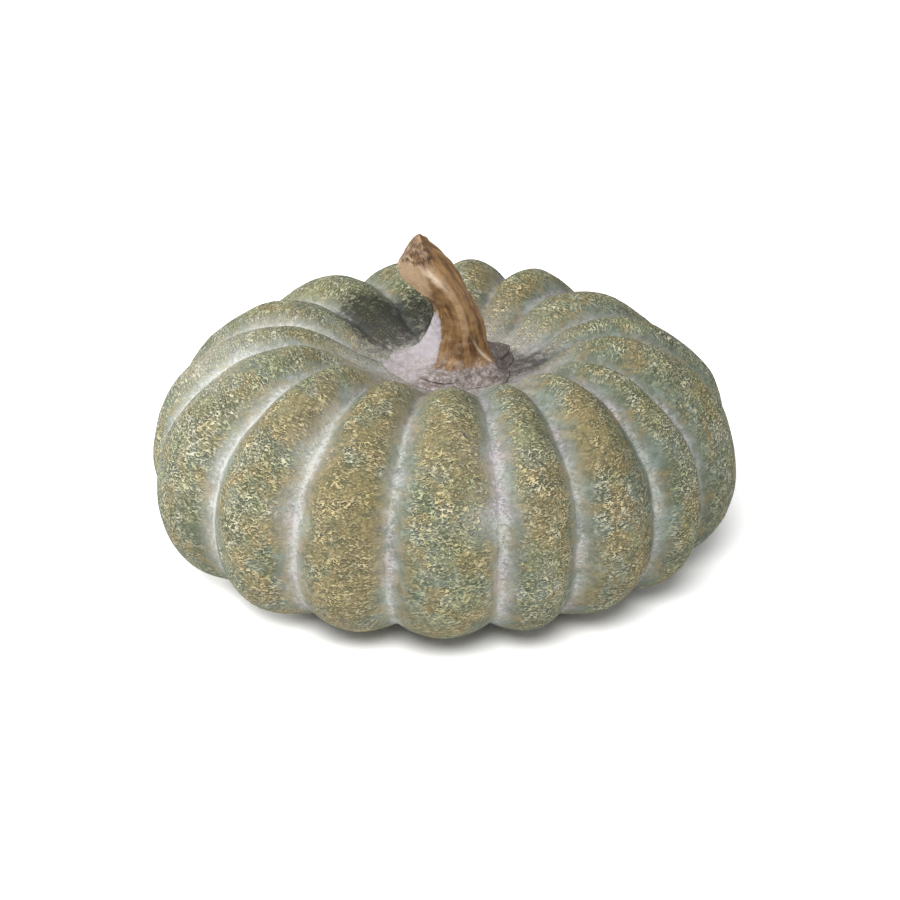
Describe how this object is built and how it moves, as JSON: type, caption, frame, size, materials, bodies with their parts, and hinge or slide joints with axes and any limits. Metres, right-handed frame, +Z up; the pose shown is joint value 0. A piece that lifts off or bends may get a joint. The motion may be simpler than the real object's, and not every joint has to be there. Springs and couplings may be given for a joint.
{
  "type": "ceramic pumpkin figure",
  "caption": "Squat ribbed ceramic pumpkin ornament with a leaning, root-footed stem cemented into its crown and soft pads under its foot.",
  "frame": {"origin": "centre of the bounding box in X and Y, at floor level under the pads", "axes": "+Z up, -Y towards the front of the figure, +X to its right as seen from the front; the stem's head leans towards -X"},
  "size_m": [0.2394, 0.2282, 0.1365],
  "materials": {
    "painted_ceramic": "matt grey-green paint, dry-brushed with ochre and lime, pale wash in the grooves",
    "stem_paint": "satin caramel-brown wood-look paint with a lilac-grey foot",
    "cement": "matt grey",
    "felt": "matt felt"
  },
  "bodies": {
    "root": {"body_shell": "painted_ceramic", "stem": "stem_paint", "stem_cement": "cement", "felt_pad_back_left": "felt", "felt_pad_back_right": "felt", "felt_pad_front_left": "felt", "felt_pad_front_right": "felt"}
  },
  "joints": []
}
